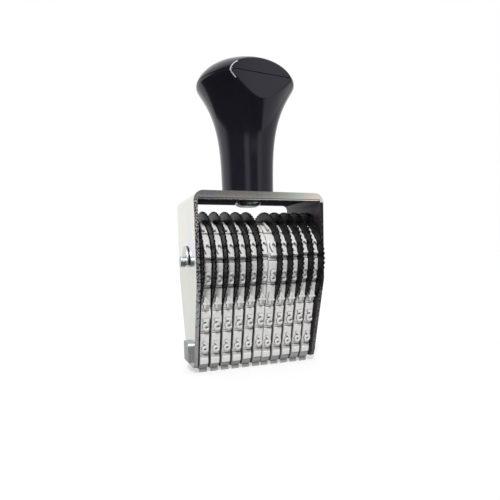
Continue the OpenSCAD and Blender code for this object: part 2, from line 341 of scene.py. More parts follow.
# %% A block with two bends, narrowed to its feet
FRAME_W, HALF_D, FOOT_HALF, SHEET = 35.2, 10.4, 3.9, 1.0
FOOT_Z, TAPER_Z, LIP_Z, UNDER, SHAFT_Z = 0.8, 23.4, 43.8, 45.0, 28.8
BEND_R, BEND_IN_R, FOOT_R, LIP_R = 2.5, 1.5, 1.0, 0.6
HALF_W = FRAME_W / 2
INNER_W = HALF_W - SHEET
LIP_BACK, BELOW_LIP = SHEET - HALF_D, LIP_Z - 0.2
frame_look = box("frame_look", (-HALF_W, HALF_W), (-HALF_D, HALF_D), (FOOT_Z, FRAME_TOP))
print("bend edges:", round_edges(
    frame_look, lambda a, b: abs(abs(a.x) - HALF_W) < 0.01 and abs(a.x - b.x) < 0.01
    and min(a.z, b.z) > FRAME_TOP - 0.01, BEND_R, 10))
shape(frame_look, "VERT")
slice_at((0, 0, TAPER_Z), (0, 0, 1))
pick_none()
pick(frame_look, "verts", lambda p: p.z < FOOT_Z + 0.01)
bpy.ops.transform.resize(value=(1, FOOT_HALF / HALF_D, 1), center_override=(0, 0, 0))
done()
print("foot edges:", round_edges(
    frame_look, lambda a, b: max(a.z, b.z) < FOOT_Z + 0.01 and abs(a.y - b.y) < 0.01, FOOT_R, 6))

# %% Take out the inside and cut the holes
SHAFT_HOLE_R, SCREW_HOLE_R = 1.53, 2.15
SLOT_HALF, SLOT_LOW, SLOT_TOP, SLOT_R = 2.83, 2.17, 7.53, 1.03
OUTSIDE, BELOW = 14, -2
room = box("room", (-INNER_W, INNER_W), (LIP_BACK, OUTSIDE), (BELOW, UNDER))
round_edges(room, lambda a, b: min(a.z, b.z) > UNDER - 0.01 and abs(a.x - b.x) < 0.01,
            BEND_IN_R, 8)
mouth = box("mouth", (-INNER_W, INNER_W), (-OUTSIDE, -9), (BELOW, LIP_Z))
cut(frame_look, room, mouth)
slots = box("slots", (-30, 30), (-SLOT_HALF, SLOT_HALF), (SLOT_LOW, SLOT_TOP))
round_edges(slots, lambda a, b: min(a.z, b.z) > SLOT_TOP - 0.01 and abs(a.y - b.y) < 0.01,
            SLOT_R, 6)
cut(frame_look, rod("shaft_hole", SHAFT_HOLE_R, 60, (0, 0, SHAFT_Z), 64),
    rod("screw_hole", SCREW_HOLE_R, 6, (0, 0, (UNDER + FRAME_TOP) / 2), 48, (0, 0, 0)), slots)
print("hollow frame:", len(frame_look.data.polygons), "faces")

# %% [markdown]
# ### The lip
# Under the lip the sheared edge is well rounded. Bevel goes wrong where that edge meets the
# plates' front in one large face with a notch, so this face is first parted on both sides.

# %% Part the front, round the lip, soften all edges
shape(frame_look)
for side in (-1, 1):
    pick_none()
    pick(frame_look, "faces", lambda c, n: n.y < -0.99 and c.y < 0.01 - HALF_D
         and c.z > TAPER_Z)
    slice_at((side * INNER_W, 0, 0), (1, 0, 0), everywhere=False)
done()
print("lip edge:", round_edges(
    frame_look, lambda a, b: all(abs(p.y + HALF_D) < 0.01 and abs(p.z - LIP_Z) < 0.01
                                 for p in (a, b)), LIP_R, 5))
soften(frame_look, 0.1, 35)
shape(frame_look)
slice_at((0, 0, BELOW_LIP), (0, 0, 1))
done()
smooth(frame_look, 35)
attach(frame_look, "stamp")
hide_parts("frame")
print("frame:", len(frame_look.data.polygons), "faces, size in mm",
      [round(v * 1000, 2) for v in frame_look.dimensions])

# %% [markdown]
# ## The number wheels
# Each wheel is one black moulding: a thin toothed rim for the thumb, a drum that carries the band,
# and a hub on the shaft. It could be a section with a Screw modifier. Here a ring of edges is
# walked round the wheel's section by extruding and scaling, as on a lathe, because the shaft can
# be drawn with the same helper, and the last ring is bridged to the first. The rim has four
# corners to a tooth, so pulling in one in every four, and its neighbours less far, makes all the
# teeth at once.

# %% Turn a ring along the shaft
AXIS = Vector((0, 0, SHAFT_Z * MM))


def turned(name, stations, sides, fill):
    """A ring or disc on the shaft's line, drawn from one (x, radius) to the next; stays in edit."""
    x, r = stations[0]
    bpy.ops.mesh.primitive_circle_add(vertices=sides, radius=r * MM, fill_type=fill,
                                      location=(x * MM, 0, AXIS.z), rotation=SIDEWAYS)
    piece = settle(name)
    shape(piece, "EDGE" if fill == "NOTHING" else "FACE")
    pick_all()
    for new_x, new_r in stations[1:]:
        bpy.ops.mesh.extrude_region_move(
            TRANSFORM_OT_translate={"value": ((new_x - x) * MM, 0, 0)})
        bpy.ops.transform.resize(value=(1, new_r / r, new_r / r), center_override=AXIS)
        x, r = new_x, new_r
    return piece


print("shaft's line at", SHAFT_Z, "mm")

# %% One wheel
TEETH, RIM_R, TOOTH_H, RIM_T, DRUM_R = 64, 13.1, 0.65, 0.45, 8.1
WHEEL_HALF, BORE_R, HOLLOW_R, HUB_R, WEB_X = 1.45, 1.55, 6.9, 3.1, -0.55
RIM_X = RIM_T - WHEEL_HALF
section = [(-WHEEL_HALF, BORE_R), (-WHEEL_HALF, RIM_R), (RIM_X, RIM_R), (RIM_X, DRUM_R),
           (WHEEL_HALF, DRUM_R), (WHEEL_HALF, HOLLOW_R), (WEB_X, HOLLOW_R), (WEB_X, HUB_R),
           (WHEEL_HALF, HUB_R), (WHEEL_HALF, BORE_R)]
wheel = turned("wheel_master", section, TEETH * 4, "NOTHING")
pick_none()
bpy.ops.mesh.select_non_manifold(extend=False)
bpy.ops.mesh.bridge_edge_loops()
turn_outwards()
print("section of the wheel:", len(section), "corners")

# %% Teeth
FLANK, POLISH_FROM, POLISH_FADE = 0.36, 0.4, 0.5


def tooth_part(p):
    """0 at a tooth's tip, 2 in the gap, 1 or 3 on a flank, None away from the rim's edge."""
    if abs(math.hypot(p.y, p.z - SHAFT_Z) - RIM_R) > 0.02:
        return None
    return round((math.atan2(p.z - SHAFT_Z, p.y) / (2 * math.pi) * TEETH * 4)) % 4


for parts, depth in (((2,), TOOTH_H), ((1, 3), TOOTH_H * FLANK)):
    shape(wheel, "VERT")
    found = pick(wheel, "verts", lambda p: tooth_part(p) in parts)
    k = (RIM_R - depth) / RIM_R
    bpy.ops.transform.resize(value=(1, k, k), center_override=AXIS)
    done()
    print("tooth corners pulled in:", found)
soften(wheel, 0.06, 50)
smooth(wheel, 35)
stain(wheel, "polish",
      lambda p: (math.hypot(p.y, p.z - SHAFT_Z) - RIM_R + TOOTH_H + POLISH_FROM) / POLISH_FADE)
print("wheel:", len(wheel.data.polygons), "faces, across",
      round(wheel.dimensions.z * 1000, 2), "mm")

# %% Eleven wheels on the shaft
PITCH, COLUMNS, MIDDLE = 3.0, 11, 6


def column_x(i):
    return (i - MIDDLE) * PITCH


def rim_side(i):
    """The rim is on the left of the first six wheels and on the right of the others."""
    return -1 if i <= MIDDLE else 1


wheels = []
for i in range(1, COLUMNS + 1):
    copy = twin(wheel, f"wheel_{i:02d}_look")
    copy.rotation_euler.z = 0 if rim_side(i) < 0 else math.pi
    copy.location.x = column_x(i) * MM
    fix(copy)
    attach(copy, f"wheel_{i:02d}")
    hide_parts(f"wheel_{i:02d}")
    wheels.append(copy)
bpy.data.objects.remove(wheel)
print("wheels:", len(wheels))

# %% [markdown]
# ## Shaft and clips
# The shaft is turned from bright rod: a chamfer at each end and, just outside the frame, a groove
# for a spring clip. A clip is stamped from spring steel: a round, cut straight below and hollowed
# where it grips, so that it snaps on from above. It could be an outline with Solidify; a disc that
# is cut by bisect and by a rod gives true arcs. Its rim is sliced once, to give each half a
# finish.

# %% Turn the shaft
SHAFT_R, SHAFT_END, CHAMFER = 1.5, 19.5, 0.2
GROOVE_IN, GROOVE_OUT, SEAT_R = 17.63, 18.16, 1.15
half_shaft = [(GROOVE_IN, SHAFT_R), (GROOVE_IN, SEAT_R), (GROOVE_OUT, SEAT_R),
              (GROOVE_OUT, SHAFT_R), (SHAFT_END - CHAMFER, SHAFT_R),
              (SHAFT_END, SHAFT_R - CHAMFER)]
shaft_look = turned("shaft_look", [(-x, r) for x, r in reversed(half_shaft)] + half_shaft,
                    64, "NGON")
turn_outwards()
soften(shaft_look, 0.05, 30)
smooth(shaft_look, 30)
print("shaft:", round(shaft_look.dimensions.x * 1000, 2), "mm long")

# %% Stamp the clips
CLIP_X, CLIP_T, CLIP_R, CLIP_UP, CLIP_LEG, GRIP_R = 17.895, 0.5, 3.3, 0.8, 0.9, 1.18
HALF_WAY = 0.03
clips_look = rod("shaft_clips_look", CLIP_R, CLIP_T, (-CLIP_X, 0, SHAFT_Z + CLIP_UP), 72)
shape(clips_look)
slice_at((0, 0, SHAFT_Z - CLIP_LEG), (0, 0, -1), use_fill=True, clear_outer=True)
done()
cut(clips_look, rod("clip_grip", GRIP_R, 4, (-CLIP_X, 0, SHAFT_Z), 48))
soften(clips_look, 0.08, 40)
shape(clips_look)
slice_at((HALF_WAY - CLIP_X, 0, 0), (1, 0, 0))
done()
other_clip = twin(clips_look, "other_clip")
other_clip.location.x = 2 * CLIP_X * MM
join(clips_look, [fix(other_clip)])
smooth(clips_look, 35)
print("clips:", len(clips_look.data.polygons), "faces in both")

# %% [markdown]
# ## Anvil and screw
# These have the right shape in the solids, but real ones are a little round at their edges, and
# that is where metal catches the light. They could be built anew. Each is copied instead, its
# loose triangles are merged into clean faces, and its edges are softened.

# %% Soften the anvil and the screw
def softened_copy(name, width):
    """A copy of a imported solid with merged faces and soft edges."""
    piece = twin(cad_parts[name], name + "_look")
    piece.data.materials.clear()
    shape(piece, "VERT")
    pick_all()
    bpy.ops.mesh.remove_doubles(threshold=1e-6)
    bpy.ops.mesh.dissolve_limited(angle_limit=math.radians(2))
    done()
    soften(piece, width, 40)
    smooth(piece, 35)
    return piece


anvil_look = softened_copy("anvil", 0.06)
screw_look = softened_copy("handle_screw", 0.08)
for piece, name, slot in ((shaft_look, "shaft", "bright_steel"),
                          (clips_look, "shaft_clips", "spring_steel"),
                          (anvil_look, "anvil", "bright_steel"),
                          (screw_look, "handle_screw", "screw_steel")):
    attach(piece, "stamp")
    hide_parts(name)
    print(name, "size in mm", [round(v * 1000, 2) for v in piece.dimensions])

# %% [markdown]
# ## The path of a band
# A rubber band keeps its length along the middle of its belt, so the path is worked out there: a
# flat under the anvil, a tight arc, a straight run up to the drum, and a wide arc over it, then
# the same down the back. It could be drawn by eye, but the fourteen blocks have to close the loop
# exactly, so the same sums as in the solid are used. The belt is modelled flat, with its digits,
# and a Curve modifier wraps it round this path.

# %% Sums for the path
BELT_T, BLOCK_H, BAND_W, BLOCKS = 1.3, 0.6, 2.3, 14
GROOVE_TOP, GROOVE_FLOOR, GROOVE_S, BAND_GAP = 0.9, 0.75, 5.2, 0.12
ANVIL_R, FLAT = 0.5, 1.0
DRUM_IN, CORNER_R = DRUM_R + BAND_GAP, ANVIL_R + BAND_GAP
CORNER_Z = CORNER_R + BELT_T + BLOCK_H
NEUTRAL = 0.35
BELT_TOP = BELT_T - NEUTRAL
BLOCK_TOP = BELT_TOP + BLOCK_H
reach = math.hypot(FLAT, SHAFT_Z - CORNER_Z)
LEAN = math.atan2(SHAFT_Z - CORNER_Z, FLAT) - math.acos((DRUM_IN - CORNER_R) / reach)
S_CORNER = FLAT + (CORNER_R + NEUTRAL) * (math.pi / 2 - LEAN)
S_LINE = S_CORNER + math.sqrt(reach ** 2 - (DRUM_IN - CORNER_R) ** 2)
S_TOP = S_LINE + (DRUM_IN + NEUTRAL) * (math.pi / 2 + LEAN)
LOOP = 2 * S_TOP
CELL = LOOP / BLOCKS


def belt_point(s):
    """Where the belt's middle is, as (y, z), a distance s along it from the middle of the foot."""
    s %= LOOP
    if s > S_TOP:
        y, z = belt_point(LOOP - s)
        return -y, z

    def turn(cy, cz, r, a):
        return cy - r * math.cos(a), cz - r * math.sin(a)

    corner, drum = CORNER_R + NEUTRAL, DRUM_IN + NEUTRAL
    if s <= FLAT:
        return -s, CORNER_Z - corner
    if s <= S_CORNER:
        return turn(-FLAT, CORNER_Z, corner, math.pi / 2 - (s - FLAT) / corner)
    if s <= S_LINE:
        y, z = turn(-FLAT, CORNER_Z, corner, LEAN)
        return y - (s - S_CORNER) * math.sin(LEAN), z + (s - S_CORNER) * math.cos(LEAN)
    return turn(0, SHAFT_Z, drum, LEAN - (s - S_LINE) / drum)


print("loop", round(LOOP, 2), "mm, one block every", round(CELL, 3), "mm, lean",
      round(math.degrees(LEAN), 1))

# %% [markdown]
# ## The belt, laid flat
# One block of the belt is a cube with cuts across it where it will have to bend. The faces between
# the two grooves are extruded up and narrowed a little, because a mould needs draft to let the
# rubber go. The groove's floor is lifted into a low rib, so that a fine dark line stays on both
# sides of it. The block's ends are left open, so that the Array modifier can weld fourteen of them
# into a strip. All fourteen could be modelled, but one is enough.

# %% One block
BENDS, LINE, RIB = 14, 0.12, 0.3
block = box("belt_strip", (0, CELL), (-NEUTRAL, BELT_TOP), (-BAND_W / 2, BAND_W / 2))
cuts = [GROOVE_FLOOR / 2 + (CELL - GROOVE_FLOOR) * i / BENDS for i in range(BENDS + 1)]
rib_half = GROOVE_FLOOR / 2 - LINE
shape(block)
for at in cuts + [rib_half, CELL - rib_half]:
    slice_at((at, 0, 0), (1, 0, 0))
pick_none()
pick(block, "faces", lambda c, n: n.y > 0.9 and cuts[0] < c.x < cuts[-1])
bpy.ops.mesh.extrude_region_move(TRANSFORM_OT_translate={"value": (0, BLOCK_H * MM, 0)})
bpy.ops.transform.resize(value=((CELL - GROOVE_TOP) / (CELL - GROOVE_FLOOR), 1, 1),
                         center_override=(CELL / 2 * MM, 0, 0))
bpy.ops.mesh.select_mode(type="VERT")
pick_none()
pick(block, "verts",
     lambda p: abs(p.y - BELT_TOP) < 0.01 and min(p.x, CELL - p.x) < rib_half + 0.01)
bpy.ops.transform.translate(value=(0, RIB * MM, 0))
bpy.ops.mesh.select_mode(type="FACE")
pick_none()
print("open ends:", pick(block, "faces", lambda c, n: abs(n.x) > 0.9
                         and (c.x < 0.01 or c.x > CELL - 0.01)))
bpy.ops.mesh.delete(type="FACE")
done()

# %% The strip and its painted shade
PAINTED_SHADE_LINE, PAINTED_SHADE_SIDE, PAINTED_SHADE_LOW, PAINTED_SHADE_HIGH, LOW_END = 0.95, 0.8, 0.55, 0.38, CELL - 2.7
soften(block, 0.09, 50)
array = block.modifiers.new("Blocks", "ARRAY")
array.count = BLOCKS
array.use_relative_offset = False
array.use_constant_offset = True
array.constant_offset_displace = (CELL * MM, 0, 0)
array.use_merge_vertices = True
array.merge_threshold = 1e-6
only(block)
bpy.ops.object.modifier_apply(modifier=array.name)


def soot(p):
    """Painted shade: in a groove's fine lines, on the sides next to the wheels, and grey on the
    first block.
    """
    from_groove = abs((p.x + CELL / 2) % CELL - CELL / 2)
    if BELT_TOP - 0.02 < p.y < BELT_TOP + 0.2 and from_groove > GROOVE_FLOOR / 2 - 0.09:
        return PAINTED_SHADE_LINE
    if abs(p.z) > BAND_W / 2 - 0.02 and p.y < BLOCK_TOP - 0.2:
        return PAINTED_SHADE_SIDE
    if 0 < p.x < CELL - 0.3 and p.y > BELT_TOP + 0.1:
        return PAINTED_SHADE_LOW if p.x < LOW_END else PAINTED_SHADE_HIGH
    return 0.0


stain(block, "soot", soot)
print("strip:", round(block.dimensions.x * 1000, 2), "mm long,",
      len(block.data.polygons), "faces")

# %% [markdown]
# ## The digits
# A rubber stamp's digits are moulded back to front, so that they print the right way round. Each
# one starts as a text object, because Blender's own font gives clean strokes; it could be drawn
# stroke by stroke. It is turned into a mesh, made over three millimetres tall and narrow,
# mirrored, and stood on its block. Mirroring turns a shape inside out, so its faces are turned
# outwards again. The digit under the anvil is the one that prints, and it carries the stamp's
# weight.

# %% Stand a digit up
DIGIT_H, DIGIT_W, RELIEF, FONT_W = 3.2, 2.1, 0.85, 0.56
PAINTED_SHADE_FOOT, PAINTED_SHADE_FALL = 1.5, 1.55
LAY_DOWN = Matrix(((0, 1, 0), (0, 0, 1), (1, 0, 0))).to_euler()


def extent(piece):
    """The lowest and the highest corner of a mesh, in metres."""
    return [[f(v.co[k] for v in piece.data.vertices) for k in range(3)] for f in (min, max)]


def digit(text, along, depth=RELIEF, sink=0.15, width=None, inked=0.0):
    """A raised, mirrored digit at a place along the strip, with its foot sunk in the block."""
    bpy.ops.object.text_add(location=(0, 0, 0))
    words = bpy.context.object
    words.data.body, words.data.size, words.data.resolution_u = text, 1.0, 5
    words.data.offset, words.data.extrude = 0.013, 0.1
    words.data.bevel_depth, words.data.bevel_resolution = 0.010, 1
    only(words)
    bpy.ops.object.convert(target="MESH")
    piece = bpy.context.object
    low, high = extent(piece)
    wide = DIGIT_W * MM / FONT_W if width is None else width * MM / (high[0] - low[0])
    piece.data.transform(Matrix.Translation([-(a + b) / 2 for a, b in zip(low, high)]))
    piece.scale = (wide, DIGIT_H * MM / (high[1] - low[1]),
                   (depth + sink) * MM / (high[2] - low[2]))
    fix(piece)
    piece.rotation_euler = LAY_DOWN
    fix(piece)
    piece.scale.z = -1
    piece.location = (along * MM, (BLOCK_TOP + (depth - sink) / 2) * MM, 0)
    fix(piece)
    shape(piece)
    pick_all()
    bpy.ops.mesh.remove_doubles(threshold=1e-7)
    turn_outwards()
    # Painted shade at the foot of the digit's walls, fading upwards; the printing digit also has
    # real ink.
    stain(piece, "soot",
          lambda p: max(inked, PAINTED_SHADE_FOOT - PAINTED_SHADE_FALL * max(0.0, p.y - BLOCK_TOP) / depth))
    return piece


print("digit", DIGIT_H, "mm tall,", RELIEF, "mm high")

# %% Digits and a bar on the strip, and the digit that prints
DIGIT_AT, PRINT_H = 2.3, 0.75
DIGITS = {1: "6", 2: "5", 3: "4", 4: "3", 5: "2", 6: "1", 7: "0", 12: "9", 13: "8"}
BAR_X, BAR_END, BAR_H, BAR_HALF = CELL - 2.75, CELL - 1.15, 0.32, BAND_W / 2 - 0.05
glyphs = [digit(text, k * CELL + DIGIT_AT) for k, text in DIGITS.items()]
bar = box("bar", (BAR_X, BAR_END), (BLOCK_TOP - 0.1, BLOCK_TOP + BAR_H), (-BAR_HALF, BAR_HALF))
shape(bar)
for part in (0.25, 0.5, 0.75):
    slice_at((BAR_X + (BAR_END - BAR_X) * part, 0, 0), (1, 0, 0))
done()
soften(bar, 0.07, 50)
stain(bar, "soot", lambda p: 0.0)
join(block, glyphs + [bar])
printing = digit("7", 0.0, depth=PRINT_H, sink=0.5, width=2.1, inked=0.6)
print("digits joined:", len(DIGITS), "strip now", len(block.data.polygons), "faces")

# %% [markdown]
# ### Round the drum
# A strip could be bent by hand, corner by corner. A Curve modifier does it in one step along a
# closed path, and because the path can begin anywhere, each band gets its own turn, in millimetres
# along the path: bands are never set quite in line. The merge afterwards closes the loop where
# both ends meet. It stays far under the size of a digit's corners, which would otherwise be pulled
# together.

# %% Wrap eleven bands
TURNED = [-0.19, -0.22, -0.19, -0.21, 0.01, 0.21, -0.08, -0.03, 0.02, 0.39, 0.29]
PATH_POINTS, PRINT_Y = 62 * BLOCKS, -0.6
UPRIGHT = Matrix(((0, 0, 1), (1, 0, 0), (0, 1, 0))).to_euler()
FACE_DOWN = Matrix(((0, 0, 1), (-1, 0, 0), (0, -1, 0))).to_euler()


def path_from(start):
    """The closed path as a flat curve that begins where this band's first groove is."""
    line = bpy.data.curves.new("belt_path", "CURVE")
    line.dimensions = "2D"
    spline = line.splines.new("POLY")
    spline.points.add(PATH_POINTS - 1)
    for j, point in enumerate(spline.points):
        y, z = belt_point(start + LOOP * j / PATH_POINTS)
        point.co = (y * MM, z * MM, 0, 1)
    spline.use_cyclic_u = True
    path = bpy.data.objects.new("belt_path", line)
    bpy.context.scene.collection.objects.link(path)
    return path


def wrapped(i):
    """The strip wrapped round the path of one column, with its loop closed."""
    belt = twin(block, f"band_{i:02d}_look")
    path = path_from(GROOVE_S + TURNED[i - 1] - CELL)
    wrap = belt.modifiers.new("Wrap", "CURVE")
    wrap.object = path
    only(belt)
    bpy.ops.object.modifier_apply(modifier=wrap.name)
    bpy.data.objects.remove(path)
    belt.rotation_euler = UPRIGHT
    fix(belt)
    shape(belt)
    pick_all()
    bpy.ops.mesh.remove_doubles(threshold=1e-5)
    done()
    return belt


bands = []
for i in range(1, COLUMNS + 1):
    belt = wrapped(i)
    foot = twin(printing, "foot")
    foot.rotation_euler = FACE_DOWN
    fix(foot)
    low, high = extent(foot)
    foot.location = (-(low[0] + high[0]) / 2, PRINT_Y * MM - (low[1] + high[1]) / 2,
                     -PRINT_H * MM - low[2])
    join(belt, [fix(foot)])
    belt.location.x = (column_x(i) - rim_side(i) * RIM_T / 2) * MM
    fix(belt)
    smooth(belt, 35)
    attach(belt, "stamp")
    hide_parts(f"band_{i:02d}")
    bands.append(belt)
bpy.data.objects.remove(block)
bpy.data.objects.remove(printing)
print("bands:", len(bands), "first one in mm",
      [[round(v * 1000, 2) for v in corner] for corner in extent(bands[0])])

# %% [markdown]
# ## Finishes
# Real surfaces are never one even colour. A picture could be wrapped round each piece, but a
# finish that is worked out from the place on the piece needs no unwrapping and is sharp at any
# size. A small class wraps a socket so that sums can be written as sums, and each sum adds its own
# Math node.

# %% Sums on sockets
class Wire:
    """A number that changes over a surface."""

    def __init__(self, graph, socket):
        self.graph, self.socket = graph, socket

    def math(self, operation, a, b):
        return self.graph.node("ShaderNodeMath", {"operation": operation}, {0: a, 1: b})

    def __add__(self, other):
        return self.math("ADD", self, other)

    def __sub__(self, other):
        return self.math("SUBTRACT", self, other)

    def __rsub__(self, other):
        return self.math("SUBTRACT", other, self)

    def __mul__(self, other):
        return self.math("MULTIPLY", self, other)

    def __abs__(self):
        return self.graph.node("ShaderNodeMath", {"operation": "ABSOLUTE"}, {0: self})

    __radd__, __rmul__ = __add__, __mul__


class Graph:
    """The nodes of a material or of the world."""

    def __init__(self, tree):
        self.nodes, self.links = tree.nodes, tree.links

    def feed(self, socket, value):
        if isinstance(value, Wire):
            self.links.new(value.socket, socket)
        else:
            socket.default_value = value

    def node(self, kind, settings, inputs, out=0):
        """Adds a node: first its settings, such as a ramp's stops, ends first, then its sockets."""
        made = self.nodes.new(kind)
        for key, value in settings.items():
            if key == "stops":
                ramp = made.color_ramp
                for at, colour in value[2:]:
                    ramp.elements.new(at).color = (*colour, 1)
                for element, (at, colour) in zip((ramp.elements[0], ramp.elements[-1]), value[:2]):
                    element.position, element.color = at, (*colour, 1)
            else:
                setattr(made, key, value)
        for key, value in inputs.items():
            self.feed(made.inputs[key], value)
        return Wire(self, made.outputs[out])

    def part(self, vector, axis):
        """One of a vector's three values: 0 is x, 1 is y, 2 is z."""
        return self.node("ShaderNodeSeparateXYZ", {}, {0: vector}, axis)

    def along(self, vector, side):
        """How far a vector reaches towards one side."""
        return self.node("ShaderNodeVectorMath", {"operation": "DOT_PRODUCT"},
                         {0: vector, 1: side}, 1)

    def fade(self, value, low, high, start=0.0, end=1.0, soft=False):
        """Goes from start to end while a value goes from low to high."""
        return self.node("ShaderNodeMapRange",
                         {"interpolation_type": "SMOOTHSTEP" if soft else "LINEAR"},
                         {"Value": value, "From Min": low, "From Max": high,
                          "To Min": start, "To Max": end})


print("sums: add, subtract, multiply, abs")


# %% A material and what it reads
class Finish(Graph):
    """A material on one Principled shader; constants are set on its own sockets."""

    def __init__(self, name, **constants):
        self.material = bpy.data.materials.new(name)
        self.material.use_nodes = True
        super().__init__(self.material.node_tree)
        self.shader = next(n for n in self.nodes if n.type == "BSDF_PRINCIPLED")
        for key, value in constants.items():
            self.shader.inputs[key.replace("_", " ")].default_value = value

    def place(self, stretch=(1, 1, 1)):
        """Object coordinates, stretched so that a pattern grows long or short along an axis."""
        where = self.node("ShaderNodeTexCoord", {}, {}, "Object")
        return self.node("ShaderNodeVectorMath", {"operation": "MULTIPLY"},
                         {0: where, 1: stretch})

    def noise(self, scale, detail=3.0, stretch=(1, 1, 1)):
        return self.node("ShaderNodeTexNoise", {},
                         {"Vector": self.place(stretch), "Scale": scale, "Detail": detail})

    def carried(self, name):
        """A value that the mesh carries at its corners."""
        return self.node("ShaderNodeAttribute", {"attribute_name": name}, {}, 2)

    def mix(self, factor, a, b):
        """A colour between two others, each with three values or a wire."""
        a, b = (c if isinstance(c, Wire) else (*c, 1) for c in (a, b))
        return self.node("ShaderNodeMix", {"data_type": "RGBA"}, {0: factor, 6: a, 7: b}, 2)

    def bump(self, height, strength, distance):
        return self.node("ShaderNodeBump", {}, {"Height": height, "Strength": strength,
                                                "Distance": distance * MM})

    def on(self, colour, roughness=None, normal=None):
        for name, value in (("Base Color", colour), ("Roughness", roughness),
                            ("Normal", normal)):
            if value is not None:
                self.feed(self.shader.inputs[name], value)
        return self


def wear(pieces, *finishes):
    for piece in pieces:
        piece.data.materials.clear()
        for finish in finishes:
            piece.data.materials.append(finish.material)


def paint_faces(piece, slot, test):
    """Gives the faces that pass a test another of the piece's finishes."""
    shape(piece)
    count = pick(piece, "faces", test)
    piece.active_material_index = slot
    bpy.ops.object.material_slot_assign()
    done()
    return count


print("finish tools ready")

# %% [markdown]
# ## Plated steel
# Zinc plating is bright, nearly a mirror: fine streaks from the rolling of the sheet, and a faint
# rainbow from the passivating bath that drifts between pink, pale green and lavender. One
# stretched noise could do for both, but streaks and tint don't follow each other on real sheet.

# %% Plated steel for the frame
plated = Finish("plated_steel_look", Metallic=1.0)
streaks = plated.noise(2600, 4, (0.8, 1.0, 0.05))
RAINBOW = [(0.34, (0.82, 0.67, 0.70)), (0.68, (0.71, 0.67, 0.78)),
           (0.45, (0.79, 0.75, 0.63)), (0.56, (0.68, 0.76, 0.66))]
tint = plated.node("ShaderNodeValToRGB", {"stops": RAINBOW},
                   {0: plated.noise(110, 2, (1.0, 1.2, 0.75))})
plated.on(plated.mix(streaks * 0.3, tint, (0.80, 0.80, 0.81)), 0.06 + streaks * 0.12,
          plated.bump(streaks, 0.12, 0.01))
print("stops of the rainbow:", len(RAINBOW))

# %% [markdown]
# Inside, the sheet is dull and painted near-black as shade, and paler towards the open back as
# painted light, where light comes in. Under the top, painted shade makes it a matt near-black. Where
# the sheet was sheared, its edge is torn: pale grey with dark pits, and darker on the right. Each
# could be a piece of its own; giving faces another finish keeps the sheet in one.

# %% Inside, under the top, and sheared edges
# Painted shade: the inside is near-black, and painted light makes it paler towards the open back.
shaded_inside = Finish("shaded_inside_steel_look", Metallic=0.0, Specular_IOR_Level=0.4)
inside_mottle = shaded_inside.noise(260, 3, (1.0, 1.0, 0.4))
towards_open_back = shaded_inside.fade(shaded_inside.part(shaded_inside.place(), 1), -0.004, 0.010)
painted_shade_inside = shaded_inside.mix(inside_mottle, (0.022, 0.018, 0.023), (0.065, 0.052, 0.062))
shaded_inside.on(shaded_inside.mix(towards_open_back * 0.8, painted_shade_inside, (0.34, 0.27, 0.30)), 0.30 + inside_mottle * 0.25)
# Painted shade: near-black and matt under the top.
under = Finish("painted_shade_under_top_look", Metallic=0.0, Specular_IOR_Level=0.0, Roughness=0.7)
under.on(under.mix(under.noise(900, 4), (0.030, 0.027, 0.040), (0.130, 0.120, 0.150)))
torn = Finish("sheared_steel_look", Metallic=0.3, Specular_IOR_Level=0.3)
pits = torn.noise(2300, 2)
worse = torn.fade(torn.part(torn.place(), 2), 0.012, 0.026, 0.40, 0.55)
# Darker towards the right, with a few more pits there.
darker_right = torn.fade(torn.part(torn.place(), 0), -0.010, 0.010)
pitted = torn.fade(worse + darker_right * 0.1 - pits, 0.0, 0.08)
pale = torn.mix(darker_right, (0.40, 0.39, 0.42), (0.12, 0.12, 0.11))
torn.on(torn.mix(pitted, pale, (0.012, 0.012, 0.015)), 0.45 + pits * 0.2,
        torn.bump(pits, 0.5, 0.05))
wear([frame_look], plated, shaded_inside, torn, under)


def is_inside(c, n):
    """The room between the plates, and the strip in front of it below the lip."""
    return abs(c.x) < INNER_W + 0.02 and c.z < UNDER + 0.02 \
        and (c.y > LIP_BACK - 0.05 or (abs(n.x) > 0.9 and c.z < LIP_Z))


def is_sheared(c, n):
    """Round the side plates, along the back of the top, and under the lip and the feet."""
    if n.z < -0.6:
        return c.z < FOOT_Z + 0.7 or (c.y < LIP_BACK + 0.1 and c.z < LIP_Z + 0.15)
    return abs(n.y) > 0.6 and (c.y > 0 or c.z < BELOW_LIP) \
        and abs(c.y) > FOOT_HALF - 0.2 and not is_inside(c, n)


# Faces inside get painted shade and light; faces under the top get painted shade.
print("dull faces:", paint_faces(frame_look, 1, is_inside),
      "sheared:", paint_faces(frame_look, 2, is_sheared),
      "shaded_under_top:", paint_faces(frame_look, 3, lambda c, n: is_inside(c, n) and abs(n.x) < 0.6
                            and c.z > LIP_Z - 0.1))

# %% [markdown]
# ## Black plastics
# The handle is polished in its mould, so it is nearly black with sharp reflections and only a
# whisper of orange peel. The seam is matt with dust. On the left of the flat's rounded edge a pale
# strip is a painted highlight, which could be a stripe of noise over the whole handle; a few faces
# with a finish of their own hold it exactly on the edge. The wheels come from a plainer mould:
# satin, slightly grainy, and polished at the teeth by many thumbs.

# %% Handle plastic
# The specular tint paints the handle's reflections bluish violet, as the light round it is.
glossy = Finish("handle_plastic_look", Metallic=0.0, Specular_Tint=(0.86, 0.84, 1.0, 1))
grime = glossy.noise(420, 4)
glossy.on(glossy.mix(grime, (0.0045, 0.004, 0.0075), (0.009, 0.008, 0.014)),
          0.09 + grime * 0.08, glossy.bump(glossy.noise(160, 2), 0.10, 0.1))
matt = Finish("seam_look", Metallic=0.0, Specular_IOR_Level=0.0, Roughness=0.8)
matt.on(matt.mix(matt.noise(800), (0.003, 0.003, 0.004), (0.007, 0.007, 0.008)))
